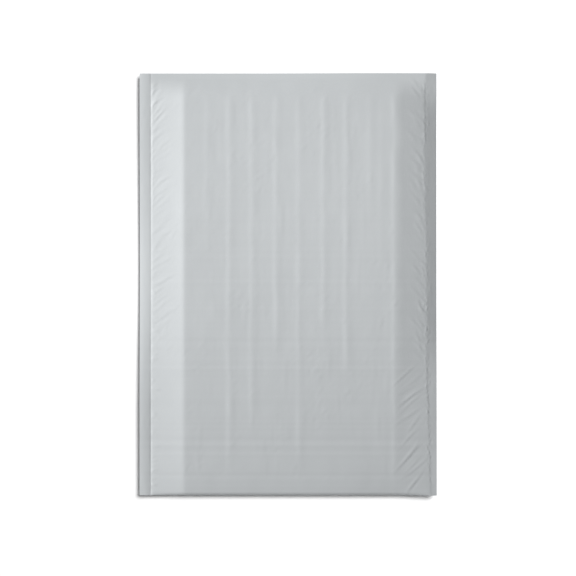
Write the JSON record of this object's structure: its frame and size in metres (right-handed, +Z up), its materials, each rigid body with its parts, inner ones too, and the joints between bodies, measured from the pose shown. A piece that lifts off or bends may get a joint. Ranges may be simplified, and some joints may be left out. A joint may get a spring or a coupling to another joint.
{
  "type": "padded envelope",
  "caption": "Flat poly film mailing envelope with bubble film padding, welded side seams and a flap folded over its back.",
  "frame": {"origin": "centre of the bounding box's bottom face, on the surface that the envelope lies on", "axes": "+X across the width, +Y to the mouth and the top fold, +Z up through the address side"},
  "size_m": [0.2414, 0.343, 0.0096],
  "materials": {
    "pearl_film": "satin pearl grey polyethylene film",
    "bubble_film": "glossy translucent polyethylene bubble film",
    "hot_melt": "glossy pale yellow hot melt adhesive",
    "liner_film": "smooth white silicone coated release paper"
  },
  "bodies": {
    "root": {"outer_film": "pearl_film", "bubble_lining": "bubble_film", "adhesive_strip": "hot_melt", "release_liner": "liner_film"}
  },
  "joints": []
}
